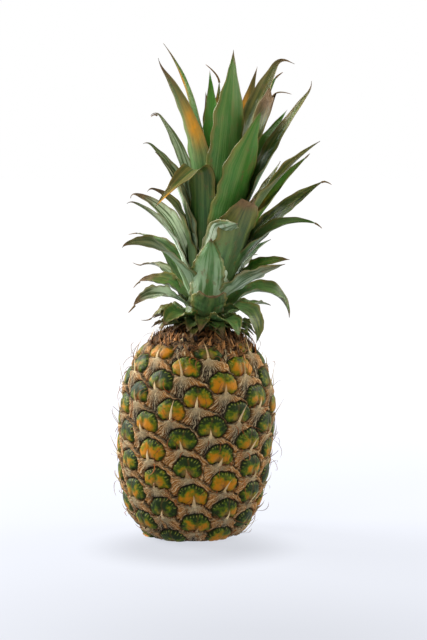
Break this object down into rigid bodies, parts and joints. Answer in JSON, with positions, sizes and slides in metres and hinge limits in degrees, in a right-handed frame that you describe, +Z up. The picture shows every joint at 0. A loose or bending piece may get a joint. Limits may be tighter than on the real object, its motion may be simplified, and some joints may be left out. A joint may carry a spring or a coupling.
{
  "type": "pineapple",
  "caption": "Whole ripe pineapple standing on its base, with a barrel-shaped fruit of fused spiral eyes and a tall crown of pointed, channelled green leaves.",
  "frame": {"origin": "centre of the flat spot under the fruit, on the surface that it stands on", "axes": "+Z up through the fruit to the crown, which leans a little to +X; -Y is the front; +X is to the right seen from the front"},
  "size_m": [0.1559, 0.1463, 0.368],
  "materials": {
    "fruit_skin": "waxy raised eyes in orange and green, with dry papery tan bracts between them",
    "cut_stalk": "dry cut fibre",
    "crown_stem": "dull olive stem with dry brown foot leaves",
    "crown_leaf": "satin green with a pale bloom, dry brown tips and orange patches"
  },
  "bodies": {
    "root": {"fruit": "fruit_skin", "cut_stalk": "cut_stalk", "crown_stem": "crown_stem", "leaf_01": "crown_leaf", "leaf_02": "crown_leaf", "leaf_03": "crown_leaf", "leaf_04": "crown_leaf", "leaf_05": "crown_leaf", "leaf_06": "crown_leaf", "leaf_07": "crown_leaf", "leaf_08": "crown_leaf", "leaf_09": "crown_leaf", "leaf_10": "crown_leaf", "leaf_11": "crown_leaf", "leaf_12": "crown_leaf", "leaf_13": "crown_leaf", "leaf_14": "crown_leaf", "leaf_15": "crown_leaf", "leaf_16": "crown_leaf", "leaf_17": "crown_leaf", "leaf_18": "crown_leaf", "leaf_19": "crown_leaf", "leaf_20": "crown_leaf", "leaf_21": "crown_leaf", "leaf_22": "crown_leaf", "leaf_23": "crown_leaf", "leaf_24": "crown_leaf", "leaf_25": "crown_leaf", "leaf_26": "crown_leaf", "leaf_27": "crown_leaf", "leaf_28": "crown_leaf", "leaf_29": "crown_leaf", "leaf_30": "crown_leaf", "leaf_31": "crown_leaf", "leaf_32": "crown_leaf", "leaf_33": "crown_leaf", "leaf_34": "crown_leaf", "leaf_35": "crown_leaf", "leaf_36": "crown_leaf", "leaf_37": "crown_leaf", "leaf_38": "crown_leaf", "leaf_39": "crown_leaf", "leaf_40": "crown_leaf", "leaf_41": "crown_leaf", "leaf_42": "crown_leaf", "leaf_43": "crown_leaf", "leaf_44": "crown_leaf", "leaf_45": "crown_leaf", "leaf_46": "crown_leaf", "leaf_47": "crown_leaf", "leaf_48": "crown_leaf", "leaf_49": "crown_leaf"}
  },
  "joints": []
}
